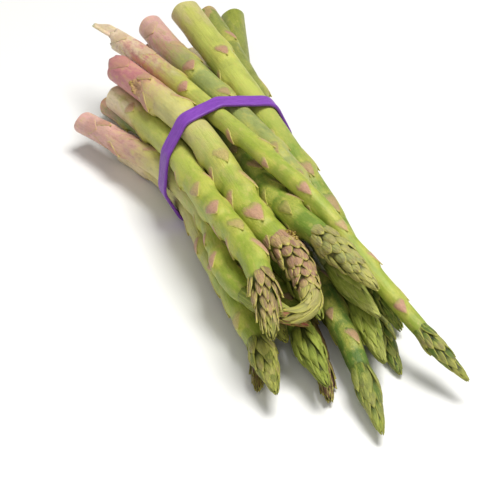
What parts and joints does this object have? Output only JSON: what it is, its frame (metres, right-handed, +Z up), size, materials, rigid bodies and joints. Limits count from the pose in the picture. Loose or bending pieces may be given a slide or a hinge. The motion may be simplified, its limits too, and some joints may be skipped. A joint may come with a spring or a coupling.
{
  "type": "bundle of asparagus",
  "caption": "Bundle of fresh green asparagus lying down, tied round the middle with a wide purple rubber band.",
  "frame": {"origin": "middle of the bottom of the bounding box, on the surface the bundle lies on", "axes": "+X along the spears, from the cut ends to the heads; +Z up"},
  "size_m": [0.2374, 0.0812, 0.0423],
  "materials": {
    "spear_light": "fresh, light yellow-green skin with pink-tan scales",
    "spear_green": "fresh, mid-green skin with tan scales",
    "spear_deep": "fresh, dark green skin with tan scales",
    "spear_tan": "drying, brown-green skin with brown scales",
    "band": "smooth purple rubber with a soft sheen"
  },
  "bodies": {
    "root": {"spear_left_pink_butt": "spear_light", "spear_left_outer": "spear_green", "spear_left_low": "spear_tan", "spear_left_inner": "spear_deep", "spear_left_front": "spear_light", "spear_top_thick": "spear_light", "spear_centre_green": "spear_deep", "spear_top_thin": "spear_light", "spear_right_scaly": "spear_green", "spear_right_bright": "spear_light", "spear_right_pale": "spear_deep", "spear_right_long": "spear_green", "spear_centre_wide_head": "spear_green", "spear_right_slim": "spear_deep", "spear_low_wide_head": "spear_green", "spear_low_middle": "spear_tan", "spear_low_right": "spear_green", "spear_low_far": "spear_deep", "spear_core": "spear_green", "rubber_band": "band"}
  },
  "joints": []
}
